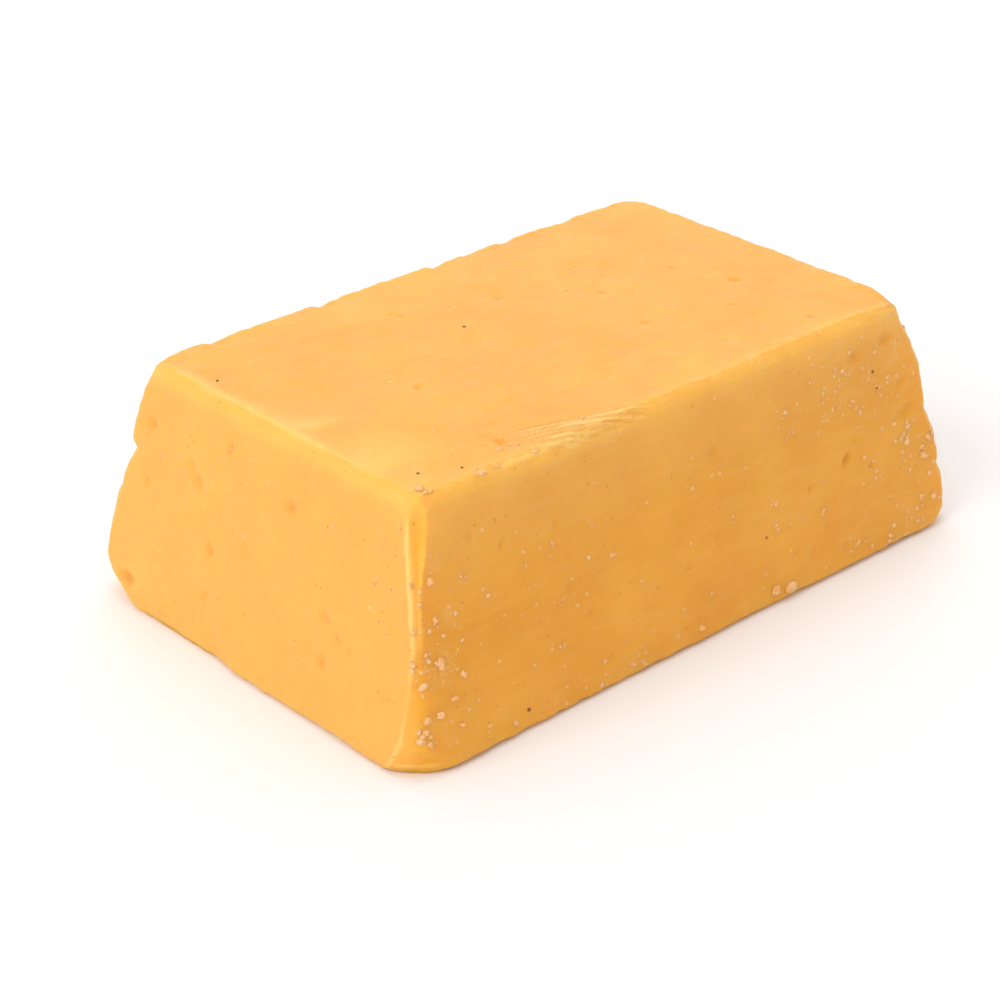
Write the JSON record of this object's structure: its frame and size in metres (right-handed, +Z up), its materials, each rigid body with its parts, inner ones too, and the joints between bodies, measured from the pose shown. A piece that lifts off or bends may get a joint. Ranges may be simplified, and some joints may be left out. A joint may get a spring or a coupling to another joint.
{
  "type": "clay bar",
  "caption": "Tapered block of kneadable yellow detailing clay, moulded with drafted sides, for rubbing bonded dirt off lubricated car paint.",
  "frame": {"origin": "centre of the base, which is the largest face and the open side of the mould", "axes": "+X along the bar's length, away from the front corner; +Y across the bar, away from its long crumbed face; +Z up, from the base to the smaller top face"},
  "size_m": [0.0846, 0.0551, 0.0281],
  "materials": {
    "clay": "satin",
    "dried_clay": "matte",
    "grit": "matte"
  },
  "bodies": {
    "root": {"clay_block": "clay", "base_edge_crumbs": "dried_clay", "front_corner_crumbs": "dried_clay", "far_end_crumbs": "dried_clay", "grit_grains": "grit"}
  },
  "joints": []
}
